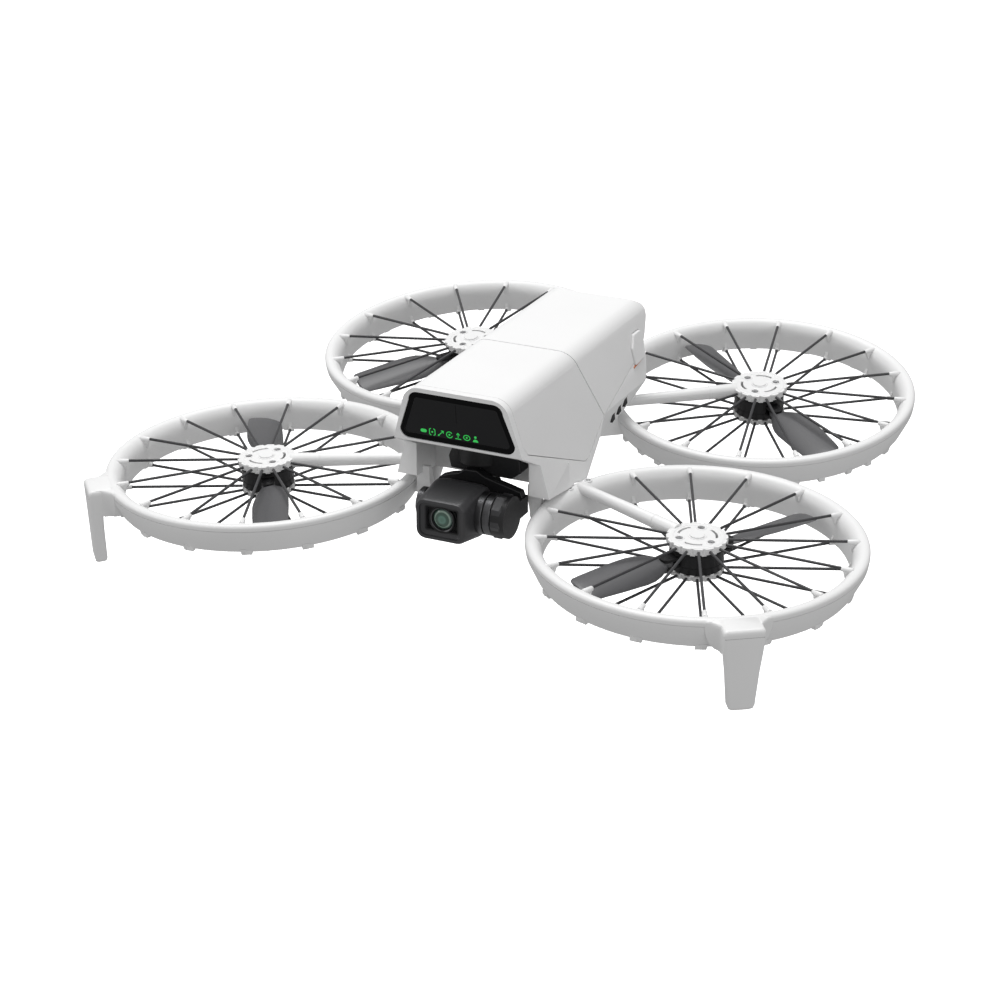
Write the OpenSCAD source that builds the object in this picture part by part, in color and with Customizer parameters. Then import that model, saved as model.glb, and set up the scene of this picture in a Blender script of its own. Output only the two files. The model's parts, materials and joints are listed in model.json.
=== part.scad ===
// Folding camera drone with four full spoked propeller guards.
// Axes: +X is the drone's left, -Y is forward, +Z is up. Millimetres.
// Every part is placed in the body frame, whose origin lies on the centre plane at the height of the
// front guards, and the whole is then moved so that the origin is under the middle of its bounding box.

/* [Guards] */
// Outer radius of a propeller guard
rim_r = 57.5; // [50:0.5:70]
// Height of the guard wall below its top edge
rim_h = 11.4; // [10:0.2:14]
// Wall thickness of the guard shells
rim_wall = 1.2; // [0.8:0.1:1.6]
// Radial depth of the hollow guard at its top
rim_depth = 5.9; // [5:0.1:8]
// Number of spoke positions around a guard
spoke_count = 16; // [8:2:24]
// Diameter of a spoke
spoke_d = 1; // [0.6:0.1:1.4]
// Distance between the upper and the lower spoke layers
spoke_gap = 10.4; // [9:0.1:13]
// Radius of the top hub disc
hub_r = 10.3; // [9:0.1:13]

/* [Rotors] */
// Outer radius of the motor bell
bell_r = 9.2; // [7:0.1:9.6]
// Distance from the shaft to a blade pivot
pivot_r = 12.8; // [12.5:0.1:15]
// Gap between a blade tip and the guard
tip_gap = 1.8; // [1.2:0.1:6]
// Widest chord of a blade
chord = 14.5; // [9:0.5:16]
// Pitch of a blade at its widest chord
pitch = 13; // [5:1:16]

/* [Layout] */
// Centre plane to the nearest edge of a front guard
front_inset = 25; // [24.6:0.1:40]
// Centre plane to the nearest edge of a rear guard
rear_inset = 2.2; // [2:0.1:20]
// Gap between a front guard and the rear guard behind it
guard_gap = 7.7; // [6:0.1:20]
// Height of the rear guards above the front ones
rear_lift = 9.5; // [8:0.5:12]
// Outward lean of the front guards
front_lean_out = 1.78; // [0:0.01:3]
// Forward lean of the front guards
front_lean_fwd = 2.69; // [0:0.01:4]
// Outward lean of the rear guards
rear_lean_out = 2.12; // [0:0.01:3]
// Forward lean of the rear guards
rear_lean_fwd = 7.24; // [4:0.01:9]
// Direction of a front arm, from the shaft
front_arm_dir = 159.2; // [150:0.1:168]
// Direction of a rear arm, from the shaft
rear_arm_dir = 214.8; // [208:0.1:220]

/* [Folding] */
// Height of the folded front discs' outer faces, from the centre plane
front_fold_x = 29; // [28:0.1:34]
// Fore-and-aft place of the folded front shafts
front_fold_y = 30; // [24:1:40]
// Height of the folded rear discs' outer faces, from the centre plane
rear_fold_x = 12.6; // [12.5:0.1:13.5]
// Fore-and-aft place of the folded rear shafts
rear_fold_y = 50; // [44:1:60]
// Radius of the hinge knuckles
knuckle_r = 3; // [2.6:0.1:3.3]
// Diameter of the hinge pins
pin_d = 2.4; // [1.6:0.1:3]

/* [Legs] */
// Length of a landing leg below the guard's top
leg_len = 28.2; // [20:0.2:28.6]
// Width of a landing leg at its top
leg_w = 14.5; // [9:0.5:18]
// Width of a landing leg at its foot
foot_w = 9; // [5:0.5:14]
// Thickness of a landing leg
leg_t = 4.4; // [3:0.1:6]
// Direction of the left landing leg from its shaft
leg_dir = -55; // [-75:1:-40]
// Direction of the right landing leg from its shaft, mirrored
leg_dir_right = -41; // [-75:1:-40]

/* [Body] */
// Height of the body's top above the front guards
top_z = 43.2; // [38:0.2:52]
// Half the width of the flat top
top_hw = 18.5; // [16:0.5:24]
// How much wider a flank gets for each millimetre down
flank_slope = 0.276; // [0.2:0.001:0.35]
// Radius along the upper edges
edge_r = 6.5; // [3:0.5:9]
// Wall thickness of the body shells
wall = 1.6; // [1.2:0.1:2.2]
// Fore-and-aft place of the display's lower edge
nose_y = -14.6; // [-18:0.1:-13]
// Fore-and-aft place of the rear face
tail_y = 103; // [98:1:120]
// Where the battery seam crosses the top
seam_y = 36.7; // [30:0.1:42]

/* [Battery] */
// Travel of a battery catch button
button_travel = 1.6; // [1:0.1:2]

/* [Fits] */
// Clearance between parts that slide or swing past each other
gap = 0.3; // [0.2:0.05:0.5]
// Radial clearance of a running fit
run = 0.05; // [0.02:0.01:0.1]

/* [Gimbal] */
// Width of the camera body
cam_w = 18.6; // [15:0.2:20]
// Height of the camera body
cam_h = 15; // [12:0.2:17]
// Depth of the camera body
cam_d = 19; // [16:0.5:20]
// Radius of the tilt motor
tilt_r = 7.4; // [6:0.1:8]

/* [Hidden] */
$fn = 64;

big = 400;

// ---- vectors ----
function unit(v) = v / norm(v);
function lean(out, fwd) = unit([tan(out), -tan(fwd), 1]);

// A fold about one axis that carries the disc (centre c1, normal n1) to (c2, n2): [axis, angle, point].
function fold_axis(c1, n1, c2, n2) =
  let(
    d = c2 - c1,
    a = unit(cross(n1 - n2, d)),
    p1 = n1 - a * (n1 * a),
    p2 = n2 - a * (n2 * a),
    t = atan2(a * cross(p1, p2), p1 * p2),
    m = (c1 + c2) / 2 + cross(a, d) / (2 * tan(t / 2))
  )
  t < 0 ? [-a, -t, m] : [a, t, m];

// The point on a fold's axis at a given y.
function axis_at(fold, y) = fold[2] + fold[0] * (y - fold[2].y) / fold[0].y;

// ---- where the rotors stand, for the +X side ----
front_x = rim_r + front_inset;
front_y = -1.9;
rear_x = rim_r + rear_inset;
rear_y = front_y + sqrt(pow(2 * rim_r + guard_gap, 2) - pow(front_x - rear_x, 2));
front_c = [front_x, front_y, 0];
rear_c = [rear_x, rear_y, rear_lift];
front_n = lean(front_lean_out, front_lean_fwd);
rear_n = lean(rear_lean_out, rear_lean_fwd);
front_fold = fold_axis(front_c, front_n, [front_fold_x, front_fold_y, -rim_r - 2.5], [1, 0, 0]);
rear_fold = fold_axis(rear_c, rear_n, [rear_fold_x, rear_fold_y, -rim_r - 0.5], [1, 0, 0]);

// ---- rotor unit, z = 0 at the upper spokes ----
top_lip = 0.6;
lip_z = -1.8;
inner_r = rim_r - rim_depth;
spoke_end = inner_r - 1.1;
foot_r = inner_r + rim_wall + 1.5;
rim_low = top_lip - rim_h;
disc_top = 1.2;
disc_low = -0.9;
plate_top = -spoke_gap + 0.9;
plate_low = -spoke_gap - 0.9;
plate_r = hub_r - 0.8;
bell_top = disc_low - 0.7;
bell_low = plate_top + 0.4;
blade_z = -5.1;
tip_r = spoke_end - tip_gap;
arm_z = -0.45;
arm_r_hub = 2.65;
arm_r_rim = 1.9;
shaft_r = 0.75;
tube_r = 1.7;
screw_ring_r = 6.3;
rim_screw_a = 4.8;
rim_screw_r = rim_r - 1.7;
pivot_pin_r = 0.9;

// ---- body outline ----
front_dy = 2.2;
chin_z = 22.9;
bezel = 3.2;
pillar_y = -3.4;
pillar_top = 17;
pillar_z = 5;
keel = [26.8, 1.8];
elbow = [43.7, 10.8];
panel_corner = [28.4, 7.4];
seam_low = [50.6, 16.4];
slide_slope = 0.268;
bay_hw = 21.4;
bay_top = 21.8;
bay_y = 11;
flank_c = top_hw + flank_slope * top_z;

function hw(z) = flank_c - flank_slope * z;
function seam_z(y) = seam_low.y + slide_slope * (y - seam_low.x);

// ---- gimbal ----
tilt_c = [0, -14.2, 1];
yaw_y = 3.2;

// ---- the origin, under the middle of the whole ----
y_mid = (front_y + rear_y) / 2;
z_low = (leg_len + 0.2) * front_n.z + (rim_r + 5) * (cos(leg_dir) * front_n.x + sin(leg_dir) * front_n.y);

module in_frame() { translate([0, -y_mid, z_low]) children(); }
module flipped(side) { mirror([side < 0 ? 1 : 0, 0, 0]) children(); }

// A frame with its z along n and its x as near to +X as it can be.
module on_disc(c, n) {
  u = unit([1, 0, 0] - n * n.x);
  w = cross(n, u);
  multmatrix([
    [u.x, w.x, n.x, c.x],
    [u.y, w.y, n.y, c.y],
    [u.z, w.z, n.z, c.z],
    [0, 0, 0, 1]
  ]) children();
}

module rotor_at(front, side) {
  in_frame() flipped(side) on_disc(front ? front_c : rear_c, front ? front_n : rear_n) children();
}

// z runs along the fold axis, and the origin is the point of the axis at y.
module on_axis(fold, y) {
  a = fold[0];
  translate(axis_at(fold, y)) rotate([0, acos(a.z), atan2(a.y, a.x)]) children();
}

// ---- guards ----
module guard_wall() {
  rotate_extrude() polygon([
    [rim_r, lip_z], [rim_r - 0.3, lip_z - 2], [foot_r, rim_low + 0.8], [foot_r - 0.6, rim_low],
    [inner_r + rim_wall, rim_low], [inner_r + rim_wall, rim_low + rim_wall],
    [rim_r - rim_wall - 0.3, lip_z - 2], [rim_r - rim_wall, lip_z]
  ]);
}

module guard_teeth() {
  for (i = [1:spoke_count - 1]) rotate(i * 360 / spoke_count)
    translate([inner_r + rim_wall + 0.02, -1.2, rim_low - 0.8]) cube([1.6, 2.4, 1.6]);
}

front_hinge_y = 11.5;
front_hinge_len = 12;
rear_hinge_y = 74;
rear_hinge_len = 8;

// A body-frame point in a rotor's own frame, turned so that x runs along its arm.
function to_rotor(c, n, dir, p) =
  let(
    u = unit([1, 0, 0] - n * n.x),
    w = cross(n, u),
    d = p - c,
    x = d * u,
    y = d * w
  )
  [x * cos(dir) + y * sin(dir), y * cos(dir) - x * sin(dir), d * n];

// Knuckle on the arm's side of the hinge, and the block that joins it to the guard.
module hinge_knuckle(front) {
  fold = front ? front_fold : rear_fold;
  y = front ? front_hinge_y : rear_hinge_y;
  len = front ? front_hinge_len : rear_hinge_len;
  c = front ? front_c : rear_c;
  n = front ? front_n : rear_n;
  at = to_rotor(c, n, arm_dir(front), axis_at(fold, y));
  difference() {
    union() {
      on_axis(fold, y) cylinder(r = knuckle_r, h = len, center = true);
      intersection() {
        on_axis(fold, y) cube([80, 80, len], center = true);
        on_disc(c, n) rotate(arm_dir(front)) difference() {
          translate([rim_r - 6, at.y - len * 0.36, min(at.z - 1.6, -7.6)])
            cube([at.x - rim_r + 6, len * 0.72, max(at.z + 1.8, -4) - min(at.z - 1.6, -7.6)]);
          translate([0, 0, lip_z - 2.5]) cylinder(r = rim_r - 0.9, h = 9);
          translate([0, 0, lip_z - 0.01]) cylinder(r = rim_r + 0.01, h = 9);
          translate([0, 0, rim_low]) cylinder(r1 = foot_r - 0.9, r2 = rim_r - 0.9, h = lip_z - 2 - rim_low);
        }
      }
    }
    on_axis(fold, y) cylinder(d = pin_d + 2 * run, h = len + 20, center = true);
  }
}

module guard_ring(front, side) {
  color("white") {
    rotor_at(front, side) difference() {
      union() {
        guard_wall();
        guard_teeth();
      }
      for (s = [-1, 1]) rotate(arm_dir(front) + s * rim_screw_a)
        translate([rim_screw_r, 0, lip_z - 3]) cylinder(d = 1.3, h = 4, $fn = 24);
    }
    in_frame() flipped(side) hinge_knuckle(front);
  }
}

module guard_post(h) {
  translate([spoke_end, -1.3, h - 0.9]) cube([inner_r - spoke_end + 0.5, 2.6, 1.8]);
}

module guard_cap(front, side) {
  color("white") rotor_at(front, side) difference() {
    union() {
      rotate_extrude() polygon([
        [rim_r, lip_z], [rim_r, -0.3], [rim_r - 0.7, 0.4], [rim_r - 1.7, top_lip],
        [inner_r + 2.4, 0.2], [inner_r + 0.9, -1.1], [inner_r + 0.2, -2.7], [inner_r, -4.6],
        [inner_r, rim_low], [inner_r + rim_wall, rim_low], [inner_r + rim_wall, -4.4],
        [inner_r + 1.5, -3], [inner_r + 2.4, -1.8], [rim_r - rim_wall, lip_z + 0.6],
        [rim_r - rim_wall, lip_z]
      ]);
      for (i = [0:spoke_count - 1]) rotate(arm_dir(front) + i * 360 / spoke_count) {
        guard_post(-spoke_gap + 0.3);
        if (i > 0) {
          guard_post(-0.3);
          translate([spoke_end, -1.3, -1.2]) cube([inner_r - spoke_end + 3, 2.6, 1.8]);
        }
      }
    }
    for (s = [-1, 1]) rotate(arm_dir(front) + s * rim_screw_a) translate([rim_screw_r, 0, -2.2]) {
      cylinder(d = 1.3, h = 4, $fn = 24);
      translate([0, 0, 1.7]) cylinder(d = 2.2, h = 3, $fn = 24);
    }
    rotate(arm_dir(front)) arm_tube(gap = 0.02);
  }
}

function arm_dir(front) = front ? front_arm_dir : rear_arm_dir;

module spokes(front, side) {
  color("dimgray") rotor_at(front, side) rotate(arm_dir(front)) for (i = [0:spoke_count - 1])
    rotate(i * 360 / spoke_count) {
      if (i > 0) translate([hub_r, 0, 0]) rotate([0, 90, 0])
        cylinder(d = spoke_d, h = spoke_end - hub_r, $fn = 16);
      translate([plate_r, 0, -spoke_gap]) rotate([0, 90, 0])
        cylinder(d = spoke_d, h = spoke_end - plate_r, $fn = 16);
    }
}

// A disc whose rim has one flat tooth for each spoke.
module toothed_disc(r, h) {
  step = 360 / spoke_count;
  half = 1.1;
  linear_extrude(h) polygon([
    for (i = [0:spoke_count - 1]) for (p = [[r, -half], [r, half], [r - 0.9, half + 0.5]])
      [p.x * cos(i * step) - p.y * sin(i * step), p.x * sin(i * step) + p.y * cos(i * step)],
  ]);
}

module arm_tube(gap = 0) {
  translate([hub_r - 1.5, 0, arm_z]) rotate([0, 90, 0])
    cylinder(r1 = arm_r_hub + gap, r2 = arm_r_rim + gap, h = rim_r - rim_wall - hub_r, $fn = 32);
}

module arm(front, side) {
  color("white") rotor_at(front, side) rotate(arm_dir(front)) difference() {
    union() {
      translate([0, 0, disc_low]) toothed_disc(hub_r, disc_top - disc_low);
      difference() {
        arm_tube();
        translate([0, 0, -8]) cylinder(r = bell_r + 0.6, h = 8 + disc_low + 0.1);
      }
      translate([0, 0, disc_low]) cylinder(r = 2.4, h = 2.6);
    }
    for (i = [0:2]) rotate(60 + i * 120) {
      translate([screw_ring_r, 0, -2]) cylinder(d = 1.3, h = 5, $fn = 24);
      translate([screw_ring_r, 0, disc_top - 0.7]) cylinder(d = 2.5, h = 2, $fn = 24);
      rotate(60) translate([0, 0, -2]) intersection() {
        difference() {
          cylinder(r = 7, h = 6);
          translate([0, 0, -1]) cylinder(r = 6.1, h = 8);
        }
        translate([0, -3, 0]) cube([9, 6, 6]);
      }
    }
  }
}

module screw(len, head) {
  translate([0, 0, -len]) cylinder(d = 1.3 - 0.02, h = len + 0.01, $fn = 24);
  difference() {
    cylinder(d = head, h = 0.6, $fn = 24);
    translate([0, 0, 0.3]) cylinder(d = 0.9, h = 1, $fn = 6);
  }
}

module screws(front, side) {
  color("silver") rotor_at(front, side) rotate(arm_dir(front)) {
    for (i = [0:2]) rotate(60 + i * 120) translate([screw_ring_r, 0, disc_top - 0.7]) screw(1.3, 2.4);
    for (s = [-1, 1]) rotate(s * rim_screw_a) translate([rim_screw_r, 0, -0.5]) screw(3, 2.1);
  }
}

module hub_plate(front, side) {
  color("whitesmoke") rotor_at(front, side) rotate(arm_dir(front)) difference() {
    union() {
      translate([0, 0, plate_low]) toothed_disc(plate_r, plate_top - plate_low);
      translate([0, 0, plate_low]) cylinder(r = tube_r, h = 6.6);
    }
    translate([0, 0, plate_low + 0.8]) cylinder(r = shaft_r + run, h = 8);
  }
}

module stator(front, side) {
  color("sienna") rotor_at(front, side) translate([0, 0, plate_top]) difference() {
    cylinder(r = bell_r - 1.7, h = 3.8);
    translate([0, 0, -1]) cylinder(r = tube_r, h = 6);
    for (i = [0:8]) rotate(i * 40) translate([4, -0.6, -1]) cube([6, 1.2, 6]);
  }
}

// ---- rotors: the bell turns, and each blade swings on its own pivot ----
function blade_dir(front, side) = front ? (side > 0 ? -120 : -121) : (side > 0 ? 140 : 130);

module motor_bell(front, side) {
  h = bell_top - bell_low;
  color([0.12, 0.12, 0.13]) rotor_at(front, side) rotate(blade_dir(front, side)) {
    translate([0, 0, bell_low]) difference() {
      cylinder(r = bell_r, h = h);
      translate([0, 0, -1]) cylinder(r = bell_r - 1, h = h - 0.4);
    }
    translate([0, 0, plate_low + 1]) cylinder(r = shaft_r, h = bell_top - plate_low - 1.5);
    for (s = [0, 180]) rotate(s) {
      for (z = [blade_z - 1.9, blade_z + 0.9]) translate([0, 0, z]) difference() {
        linear_extrude(1) union() {
          translate([bell_r - 0.6, -2.4]) square([pivot_r - bell_r + 0.6, 4.8]);
          translate([pivot_r, 0]) circle(r = 2.4, $fn = 32);
        }
      }
      translate([pivot_r, 0, blade_z - 1.9]) cylinder(r = pivot_pin_r, h = 3.7, $fn = 32);
    }
  }
}

module blade(front, side, s) {
  hand = front ? -1 : 1;
  reach = tip_r - pivot_r;
  color([0.25, 0.25, 0.27]) rotor_at(front, side) rotate(blade_dir(front, side) + s)
    translate([pivot_r, 0, blade_z]) difference() {
      union() {
        translate([0, 0, -0.8]) cylinder(r = 2.3, h = 1.6, $fn = 32);
        rotate([hand * pitch, 0, 0]) translate([0, 0, -0.55]) linear_extrude(1.1) scale([1, hand]) polygon([
          [0, -2], [reach * 0.2, -chord * 0.32], [reach * 0.45, -chord * 0.45], [reach * 0.8, -chord * 0.4],
          [reach * 0.95, -chord * 0.3], [reach, -chord * 0.1], [reach * 0.99, chord * 0.12],
          [reach * 0.93, chord * 0.3], [reach * 0.7, chord * 0.42], [reach * 0.4, chord * 0.5],
          [reach * 0.2, chord * 0.36], [reach * 0.08, chord * 0.17], [0, 2]
        ]);
      }
      translate([0, 0, -3]) cylinder(r = pivot_pin_r + run, h = 6, $fn = 32);
      for (z = [0.82, -3.82]) translate([0, 0, z]) cylinder(r = 3.2, h = 3, $fn = 32);
      translate([-pivot_r, 0, -3]) cylinder(r = bell_r + 0.4, h = 6);
    }
}

// ---- landing legs ----
module leg(side) {
  out = rim_r + 7.4;
  color("white") rotor_at(true, side) rotate(side > 0 ? leg_dir : leg_dir_right) difference() {
    union() {
      translate([out, 0, 0]) rotate([90, 0, -90]) linear_extrude(leg_t) polygon([
        [-leg_w / 2, top_lip], [leg_w / 2, top_lip], [foot_w / 2, -leg_len + 1.4],
        [foot_w / 2 - 1.2, -leg_len], [-foot_w / 2 + 1.2, -leg_len], [-foot_w / 2, -leg_len + 1.4]
      ]);
      translate([rim_r - 3, -leg_w / 2, rim_low + 4]) cube([out - rim_r + 3 - leg_t + 0.1, leg_w, rim_h - 4]);
    }
    translate([0, 0, lip_z]) cylinder(r = rim_r, h = 20, $fn = 128);
    translate([0, 0, lip_z - 2]) cylinder(r1 = rim_r - 0.3, r2 = rim_r, h = 2, $fn = 128);
    translate([0, 0, rim_low + 1]) cylinder(r1 = foot_r, r2 = rim_r - 0.3, h = lip_z - 3 - rim_low, $fn = 128);
    translate([0, 0, -40]) cylinder(r = out - leg_t, h = 40 + rim_low + 4.01, $fn = 128);
  }
}

// ---- body shells ----
// Half section of the body, inset by i, from the flank's foot up round the edge to the top.
function half_section(i, low) =
  let(
    r = edge_r - i,
    k = sqrt(1 + flank_slope * flank_slope),
    cz = top_z - i - r,
    cx = flank_c - i * k - flank_slope * cz - r * k,
    a0 = atan(flank_slope)
  )
  concat(
    [[flank_c - i * k - flank_slope * low, low]],
    [for (s = [0:8]) let(a = a0 + (90 - a0) * s / 8) [cx + r * cos(a), cz + r * sin(a)]]
  );

module body_prism(i = 0, low = -10) {
  right = half_section(i, low);
  left = [for (s = [len(right) - 1:-1:0]) [-right[s].x, right[s].y]];
  translate([0, tail_y + 40, 0]) rotate([90, 0, 0]) linear_extrude(tail_y + 120) polygon(concat(right, left));
}

// An outline in y and z, as thick as the body is wide.
module side_cut(points, w = big) { rotate([90, 0, 90]) linear_extrude(w, center = true) polygon(points); }

function nose_at(z) = nose_y - front_dy * (z - chin_z) / (top_z - chin_z);

// Front cover: the top and both side panels, from the bezel to the battery seam.
module front_cover() {
  color("white") in_frame() {
    difference() {
      intersection() {
        body_prism();
        side_cut([
          [nose_at(top_z) + bezel, top_z + 1], [nose_at(26) + bezel, 26], [nose_at(26) + bezel + 2, 23],
          panel_corner, [panel_corner.x + 3, panel_corner.y], seam_low, [seam_y, top_z + 1]
        ]);
      }
      intersection() {
        body_prism(wall, -20);
        side_cut([
          [-40, top_z + 1], [-40, -20], [60, -20], [60, seam_low.y - 4], [seam_low.x - wall, seam_low.y],
          [seam_y - wall, top_z + 1]
        ]);
      }
    }
    // Rib that carries the seam's inner edge.
    intersection() {
      body_prism(wall - 0.01, seam_low.y + 6);
      side_cut([
        [seam_y - 2, top_z - 1], [seam_y, top_z - 1], [seam_low.x - 4, seam_low.y + 7],
        [seam_low.x - 6, seam_low.y + 7]
      ]);
      difference() {
        translate([-big / 2, -big / 2, 0]) cube(big);
        body_prism(wall + 1.6, -20);
      }
    }
  }
}

module lower_solid() {
  // Bezel, pillars and the lower strip, out to the flanks.
  difference() {
    intersection() {
      body_prism();
      side_cut([
        [nose_at(top_z + 1), top_z + 1], [nose_at(chin_z), chin_z], [pillar_y, pillar_top],
        [pillar_y, pillar_z], keel, elbow, seam_low - [0.3, 0.4], [panel_corner.x + 3, panel_corner.y - gap / 2],
        panel_corner - [0, gap / 2], [nose_at(26) + bezel + 2 - gap / 2, 23 - gap / 2],
        [nose_at(26) + bezel - gap / 2, 26], [nose_at(top_z + 1) + bezel - gap / 2, top_z + 1]
      ]);
    }
    // The cavity behind the bezel and between the cheeks.
    intersection() {
      body_prism(wall + 1.2, -20);
      side_cut([
        [nose_at(top_z) + bezel - 0.4, top_z + 2], [nose_at(chin_z) + bezel - 0.4, chin_z + wall],
        [8, chin_z + wall], [13, chin_z - 4], [20, 5.5], [30, 6.5], [60, 20], [60, top_z + 2]
      ]);
    }
    // The gimbal's bay.
    translate([-bay_hw, -big, -big + bay_top]) cube([2 * bay_hw, big + bay_y, big]);
  }
  // Rear lower half, narrower than the flanks.
  intersection() {
    body_prism();
    rotate([90, 0, 0]) translate([0, 0, -big / 2]) linear_extrude(big) polygon([
      for (s = [1, -1]) for (z = s > 0 ? [0, 30] : [30, 0]) [s * (22.5 + 0.35 * (z - 7.3)), z]
    ]);
    difference() {
      side_cut([
        [24, 3], [40, 4.4], [54, 5.9], [63, 7.3], [74, 8.6], [79.7, 11.1], [89, 15.9], [92.5, 20.5],
        [95.5, seam_z(95.5) - gap], seam_low - [0, gap], [30, 12]
      ]);
      difference() {
        side_cut([
          [20, 5.5], [40, 6], [54, 7.6], [63, 9], [73.5, 10.2], [79, 12.8], [88, 17.4],
          [92, seam_z(92) - gap - 1.6], [53, seam_z(53) - gap - 1.6], [53, 40], [20, 40]
        ]);
        for (s = [-1, 1]) translate([s * big / 2 + s * (20.6), big / 2 - 100, 0]) cube(big, center = true);
      }
    }
  }
}

// Two lugs that hold a hinge pin, each with a root that rises into the body.
module hinge_lugs(fold, y, len, rise) {
  for (s = [-1, 1]) {
    on_axis(fold, y) translate([0, 0, s * (len / 2 + gap + 1.5)]) cylinder(r = knuckle_r, h = 3, center = true);
    intersection() {
      on_axis(fold, y) translate([0, 0, s * (len / 2 + gap + 1.5)]) cube([40, 40, 3], center = true);
      translate(axis_at(fold, y) + fold[0] * s * (len / 2 + gap + 1.5))
        translate([-knuckle_r, -knuckle_r, 0]) cube([2 * knuckle_r - 1, 2 * knuckle_r, rise]);
    }
  }
}

module all_lugs() {
  for (side = [1, -1]) flipped(side) {
    hinge_lugs(front_fold, front_hinge_y, front_hinge_len, 12);
    hinge_lugs(rear_fold, rear_hinge_y, rear_hinge_len, 14);
  }
}

module vent_slots() {
  for (side = [1, -1]) flipped(side) for (i = [0:2])
    translate([23, 64 + i * 4.2, 10.6 + i * 1.7]) rotate([15, 0, 0]) cube([8, 2.7, 3.4], center = true);
}

// The space that the front guards take beside the flanks.
module guard_room() {
  for (side = [1, -1]) flipped(side) on_disc(front_c, front_n)
    translate([0, 0, rim_low - 4]) cylinder(r = rim_r + gap, h = rim_h + 4 + gap);
}

// Each catch button hangs below the seam, and leaves rearwards through an open notch.
module button_notch() {
  low = -4.2 - 2 * gap;
  for (side = [1, -1]) flipped(side) intersection() {
    side_cut([for (p = [[-5 - gap, 9], [-5 - gap, -5 - gap], [3.9, low], [22, low + slide_slope * 18.1], [22, 16]])
      p + [button_y, button_z]]);
    translate([hw(button_z) - button_depth - button_travel - 1, 60, 0]) cube([20, 60, 60]);
  }
}

port_y = 90.2;
port_z = 19.2;
port_w = 9;
port_h = 3.2;

module lower_frame() {
  color("white") in_frame() difference() {
    union() {
      lower_solid();
      all_lugs();
    }
    for (side = [1, -1]) flipped(side) {
      on_axis(front_fold, front_hinge_y) {
        cylinder(d = pin_d, h = front_hinge_len + 6.4, center = true);
        cylinder(r = knuckle_r + gap, h = front_hinge_len + 2 * gap, center = true);
      }
      on_axis(rear_fold, rear_hinge_y) {
        cylinder(d = pin_d, h = rear_hinge_len + 6.4, center = true);
        cylinder(r = knuckle_r + gap, h = rear_hinge_len + 2 * gap, center = true);
      }
    }
    vent_slots();
    guard_room();
    button_notch();
    window_cut(0.05, bezel + 8);
    for (x = [-7, 7]) translate([x, 46, 0]) cylinder(r = 3.05, h = 14);
    translate([0, 46, 0]) cylinder(r = 1.75, h = 14);
    translate([-port_w / 2 - 0.02, port_y - 6, port_z - port_h / 2 - 0.02]) cube([port_w + 0.04, 14, port_h + 0.04]);
  }
}

// ---- display ----
window_r = 3.4;

// Rounded trapezoid, from the lower right corner round to the lower left.
module window_outline(i) {
  top = top_hw - 0.8 - i;
  low = hw(chin_z) - 2.5 - i;
  r = window_r - i;
  z1 = top_z - 1.6 - i;
  z0 = chin_z + 0.9 + i;
  right = concat(
    [for (a = [-90:15:0]) [low - r + r * cos(a), z0 + r + r * sin(a)]],
    [for (a = [0:15:90]) [top - r + r * cos(a), z1 - r + r * sin(a)]]
  );
  polygon(concat(right, [for (s = [len(right) - 1:-1:0]) [-right[s].x, right[s].y]]));
}

// The window's prism, along the slanted face, from the front plane back by deep.
module window_cut(grow, deep) {
  intersection() {
    rotate([90, 0, 0]) translate([0, 0, -big / 2]) linear_extrude(big) window_outline(-grow);
    side_cut([
      [nose_at(top_z) - 2, top_z + 4], [nose_at(chin_z) - 2, chin_z - 4],
      [nose_at(chin_z) + deep, chin_z - 4], [nose_at(top_z) + deep, top_z + 4]
    ]);
  }
}

module display_window() {
  color([0.03, 0.03, 0.035]) in_frame() intersection() {
    window_cut(0, 30);
    side_cut([
      [nose_at(top_z + 4) + 0.35, top_z + 4], [nose_at(chin_z - 4) + 0.35, chin_z - 4],
      [nose_at(chin_z - 4) + 1.85, chin_z - 4], [nose_at(top_z + 4) + 1.85, top_z + 4]
    ]);
  }
}

module display_panel() {
  color("darkgreen") in_frame() intersection() {
    window_cut(-1, 30);
    side_cut([
      [nose_at(top_z + 4) + 1.95, top_z + 4], [nose_at(chin_z - 4) + 1.95, chin_z - 4],
      [nose_at(chin_z - 4) + 2.75, chin_z - 4], [nose_at(top_z + 4) + 2.75, top_z + 4]
    ]);
  }
}

// ---- battery ----
battery_low = [
  [seam_low.x + gap, seam_low.y], [93, seam_z(93)], [97.5, seam_z(97.5) + 2.5], [tail_y - 1.2, seam_z(tail_y) + 6],
  [tail_y, top_z - 5], [tail_y - 1, top_z - 1.8], [tail_y - 3, top_z - 0.3], [tail_y - 5, top_z + 1]
];

module battery_case() {
  color("white") in_frame() difference() {
    intersection() {
      body_prism();
      side_cut(concat([[seam_y + gap, top_z + 1]], battery_low));
      plan_round(0);
    }
    intersection() {
      body_prism(wall, -20);
      side_cut([
        [seam_y + gap + wall, top_z - wall], [seam_low.x + gap + wall + 1, seam_z(seam_low.x) + wall + 0.6],
        [92, seam_z(92) + wall], [tail_y - wall - 1.2, seam_z(tail_y) + 7], [tail_y - wall, top_z - 6],
        [tail_y - 5, top_z - wall]
      ]);
      plan_round(wall);
    }
    for (side = [1, -1]) flipped(side) button_pocket(gap);
  }
}

// The body's plan with its rear corners rounded.
module plan_round(i) {
  r = 7 - i;
  translate([0, 0, -20]) linear_extrude(120) {
    translate([-60, -60]) square([120, tail_y - 7 + 60]);
    translate([-(top_hw - 3), tail_y - 8]) square([2 * (top_hw - 3), 8 - i]);
    for (s = [-1, 1]) translate([s * (top_hw - 1.5), tail_y - i - r]) circle(r = r, $fn = 48);
  }
}

module battery_cells() {
  color("slategray") in_frame() for (s = [-1, 1])
    translate([s * 8.4, 69.5, 34.6]) cube([15.8, 40, 11], center = true);
}

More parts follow.
